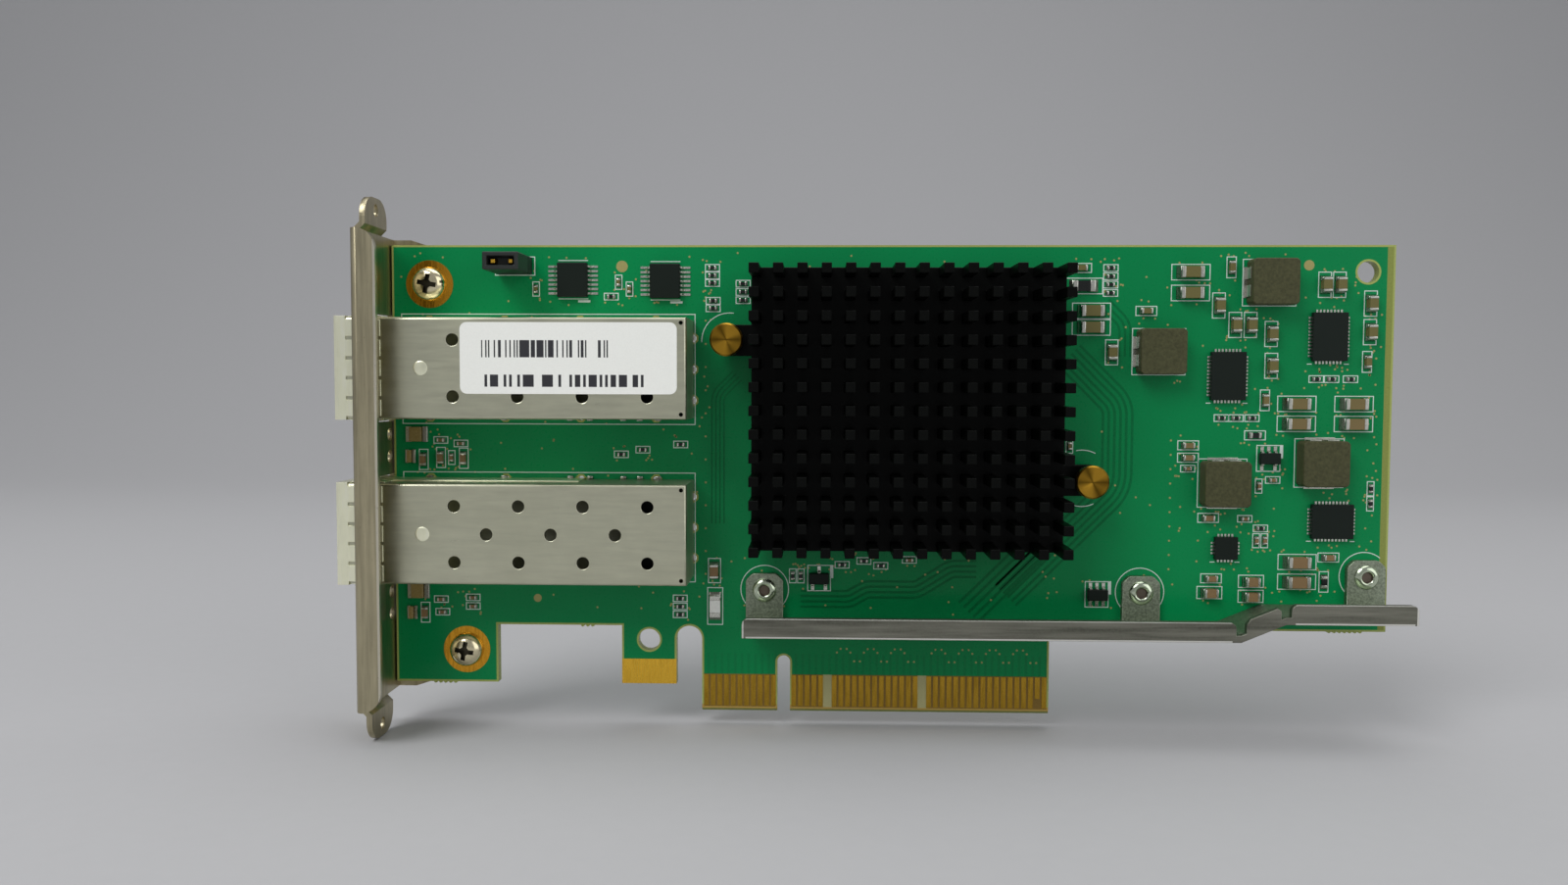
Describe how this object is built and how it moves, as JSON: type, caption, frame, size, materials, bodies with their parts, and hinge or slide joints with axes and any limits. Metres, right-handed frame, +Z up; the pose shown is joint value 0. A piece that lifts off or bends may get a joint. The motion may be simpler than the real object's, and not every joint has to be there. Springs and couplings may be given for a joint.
{
  "type": "network interface card",
  "caption": "Low-profile expansion card with pluggable optical ports, a black pin-fin heat sink, a steel bracket and a folded stiffener bar on a green board.",
  "frame": {"origin": "middle of the key notch, on the lower edge of the contact tongue, in the board's component face", "axes": "+X along the card away from the bracket, +Y out of the board's back, +Z up from the contact edge"},
  "size_m": [0.1508, 0.0184, 0.0765],
  "materials": {
    "bar_steel": "bright zinc-plated sheet",
    "black_anodised": "black anodised",
    "bracket_steel": "nickel-plated sheet",
    "brass_pin": "turned brass",
    "cage_steel": "bright nickel-plated sheet",
    "capacitor_ceramic": "tan ceramic",
    "chip_plastic": "moulded black resin",
    "collar_steel": "bright spring sheet",
    "connector_plastic": "black moulding",
    "copper_pad": "dull gold-plated copper",
    "ferrite": "grey-brown pressed iron powder",
    "fuse_white": "white ceramic",
    "gold": "thin gold plating",
    "header_plastic": "black moulding",
    "label_paper": "white label",
    "light_amber": "clear amber resin",
    "resistor_black": "black coated ceramic",
    "rivet_steel": "bright rivet",
    "screw_steel": "nickel-plated screw",
    "solder_mask": "satin green solder mask",
    "spring_steel": "spring wire",
    "substrate": "green laminate",
    "thermal_rubber": "soft grey pad",
    "tin": "tin-plated"
  },
  "bodies": {
    "root": {"amplifier_chips": "chip_plastic", "amplifier_leads": "tin", "bracket": "bracket_steel", "bracket_screws": "screw_steel", "circuit_board": "solder_mask", "controller_lid": "chip_plastic", "controller_substrate": "substrate", "edge_contacts_back": "gold", "edge_contacts_front": "gold", "flat_chips": "chip_plastic", "fuse_body": "fuse_white", "fuse_ends": "tin", "ground_pads": "copper_pad", "header_base": "header_plastic", "header_pins": "gold", "heat_sink": "black_anodised", "inductor_terminals": "tin", "jumper_cap": "header_plastic", "large_capacitor_bodies": "capacitor_ceramic", "large_capacitor_ends": "tin", "lower_cage_cover": "cage_steel", "lower_cage_floor": "cage_steel", "lower_connector_contacts": "gold", "lower_port_connector": "connector_plastic", "lower_spring_collar": "collar_steel", "medium_capacitor_bodies": "capacitor_ceramic", "medium_capacitor_ends": "tin", "port_label": "label_paper", "power_inductors": "ferrite", "push_pin_springs": "spring_steel", "push_pins": "brass_pin", "resistors": "resistor_black", "small_capacitor_bodies": "capacitor_ceramic", "small_capacitor_ends": "tin", "status_lights": "light_amber", "stiffener_bar": "bar_steel", "stiffener_rivets": "rivet_steel", "thermal_pad": "thermal_rubber", "tiny_capacitors": "capacitor_ceramic", "transistor_chips": "chip_plastic", "transistor_leads": "tin", "upper_cage_cover": "cage_steel", "upper_cage_floor": "cage_steel", "upper_connector_contacts": "gold", "upper_port_connector": "connector_plastic", "upper_spring_collar": "collar_steel"}
  },
  "joints": []
}
